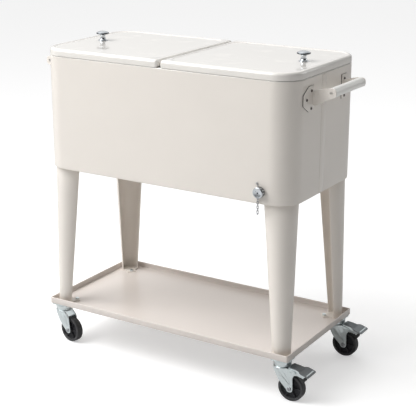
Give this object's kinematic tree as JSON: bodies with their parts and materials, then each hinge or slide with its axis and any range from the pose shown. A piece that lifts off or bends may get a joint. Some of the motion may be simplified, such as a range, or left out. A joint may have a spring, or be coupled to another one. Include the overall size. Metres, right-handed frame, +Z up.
{
  "type": "cooler cart",
  "caption": "Insulated steel patio cooler on four tapered legs with a shelf tray, swivel casters, centre-hinged lids, side grips and a chained drain cap.",
  "frame": {"origin": "centre of the footprint on the floor, under the middle of the cart's overall box", "axes": "+X to the cart's right along its length, front faces -Y, +Z up"},
  "size_m": [0.901, 0.3976, 0.884],
  "materials": {
    "cream_enamel": "glossy cream powder coat",
    "grip_enamel": "satin off-white powder coat",
    "foam": "rigid foam",
    "white_plastic": "smooth moulded",
    "grey_seal": "soft seal",
    "black_rubber": "matte",
    "black_nylon": "moulded satin",
    "chrome": "bright plated",
    "zinc": "zinc plated"
  },
  "bodies": {
    "cart": {"body_shell": "cream_enamel", "body_base": "cream_enamel", "foam_insulation": "foam", "inner_liner": "white_plastic", "rim_frame": "cream_enamel", "centre_bar": "zinc", "hinge_pins": "chrome", "leg_front_left": "cream_enamel", "leg_front_right": "cream_enamel", "leg_rear_left": "cream_enamel", "leg_rear_right": "cream_enamel", "leg_top_plates": "cream_enamel", "leg_foot_plates": "cream_enamel", "leg_bolts": "zinc", "tray": "cream_enamel", "caster_plate_front_left": "zinc", "caster_plate_front_right": "zinc", "caster_plate_rear_left": "zinc", "caster_plate_rear_right": "zinc", "caster_bolts": "zinc", "handle_pads": "black_rubber", "handle_brackets_left": "cream_enamel", "handle_brackets_right": "cream_enamel", "handle_grip_left": "grip_enamel", "handle_grip_right": "grip_enamel", "handle_rods": "zinc", "handle_screws": "chrome", "drain_spout": "white_plastic", "drain_nut": "white_plastic", "drain_gasket": "black_rubber", "drain_wire": "chrome"},
    "lid_left": {"lid_skin_left": "cream_enamel", "lid_foam_left": "foam", "lid_liner_left": "white_plastic", "lid_gasket_left": "grey_seal", "knob_left": "chrome"},
    "lid_right": {"lid_skin_right": "cream_enamel", "lid_foam_right": "foam", "lid_liner_right": "white_plastic", "lid_gasket_right": "grey_seal", "knob_right": "chrome"},
    "fork_front_left": {"caster_fork_front_left": "zinc", "axle_front_left": "zinc"},
    "wheel_front_left": {"wheel_front_left": "black_nylon"},
    "fork_front_right": {"caster_fork_front_right": "zinc", "axle_front_right": "zinc"},
    "wheel_front_right": {"wheel_front_right": "black_nylon"},
    "fork_rear_left": {"caster_fork_rear_left": "zinc", "axle_rear_left": "zinc"},
    "wheel_rear_left": {"wheel_rear_left": "black_nylon"},
    "fork_rear_right": {"caster_fork_rear_right": "zinc", "axle_rear_right": "zinc"},
    "wheel_rear_right": {"wheel_rear_right": "black_nylon"},
    "brake_front": {"brake_pedal_front": "zinc", "brake_pad_front": "black_rubber"},
    "brake_rear": {"brake_pedal_rear": "zinc", "brake_pad_rear": "black_rubber"},
    "drain_cap": {"drain_cap": "chrome"},
    "drain_chain": {"drain_chain": "chrome"}
  },
  "joints": [
    {"name": "lid_left_hinge", "type": "hinge", "parent": "cart", "child": "lid_left", "pos_m": [-0.013, 0.00825, 0.848], "axis": [0, 1, 0], "range_deg": [0, 80]},
    {"name": "lid_right_hinge", "type": "hinge", "parent": "cart", "child": "lid_right", "pos_m": [0.013, 0.00825, 0.848], "axis": [0, -1, 0], "range_deg": [0, 80]},
    {"name": "swivel_front_left", "type": "hinge", "parent": "cart", "child": "fork_front_left", "pos_m": [-0.36, -0.15425, 0.1], "axis": [0, 0, 1], "continuous": true},
    {"name": "wheel_spin_front_left", "type": "hinge", "parent": "fork_front_left", "child": "wheel_front_left", "pos_m": [-0.3314, -0.15904, 0.0365], "axis": [0.165, 0.9863, 0], "continuous": true},
    {"name": "swivel_front_right", "type": "hinge", "parent": "cart", "child": "fork_front_right", "pos_m": [0.36, -0.15425, 0.1], "axis": [0, 0, 1], "continuous": true},
    {"name": "wheel_spin_front_right", "type": "hinge", "parent": "fork_front_right", "child": "wheel_front_right", "pos_m": [0.389, -0.15425, 0.0365], "axis": [0, 1, 0], "continuous": true},
    {"name": "swivel_rear_left", "type": "hinge", "parent": "cart", "child": "fork_rear_left", "pos_m": [-0.36, 0.17075, 0.1], "axis": [0, 0, 1], "continuous": true},
    {"name": "wheel_spin_rear_left", "type": "hinge", "parent": "fork_rear_left", "child": "wheel_rear_left", "pos_m": [-0.33116, 0.17378, 0.0365], "axis": [-0.1045, 0.9945, 0], "continuous": true},
    {"name": "swivel_rear_right", "type": "hinge", "parent": "cart", "child": "fork_rear_right", "pos_m": [0.36, 0.17075, 0.1], "axis": [0, 0, 1], "continuous": true},
    {"name": "wheel_spin_rear_right", "type": "hinge", "parent": "fork_rear_right", "child": "wheel_rear_right", "pos_m": [0.389, 0.17075, 0.0365], "axis": [0, 1, 0], "continuous": true},
    {"name": "brake_front", "type": "hinge", "parent": "fork_front_right", "child": "brake_front", "pos_m": [0.3906, -0.15425, 0.082], "axis": [0, 1, 0], "range_deg": [0, 5], "stiffness_Nm_per_rad": 0.8},
    {"name": "brake_rear", "type": "hinge", "parent": "fork_rear_right", "child": "brake_rear", "pos_m": [0.3906, 0.17075, 0.082], "axis": [0, 1, 0], "range_deg": [0, 5], "stiffness_Nm_per_rad": 0.8},
    {"name": "drain_cap_turn", "type": "hinge", "parent": "cart", "child": "drain_cap", "pos_m": [0.3025, -0.18175, 0.559], "axis": [0, -1, 0], "range_deg": [0, 720]},
    {"name": "chain_swing", "type": "hinge", "parent": "cart", "child": "drain_chain", "pos_m": [0.2975, -0.18675, 0.5417], "axis": [0, 1, 0], "range_deg": [-30, 30]}
  ]
}
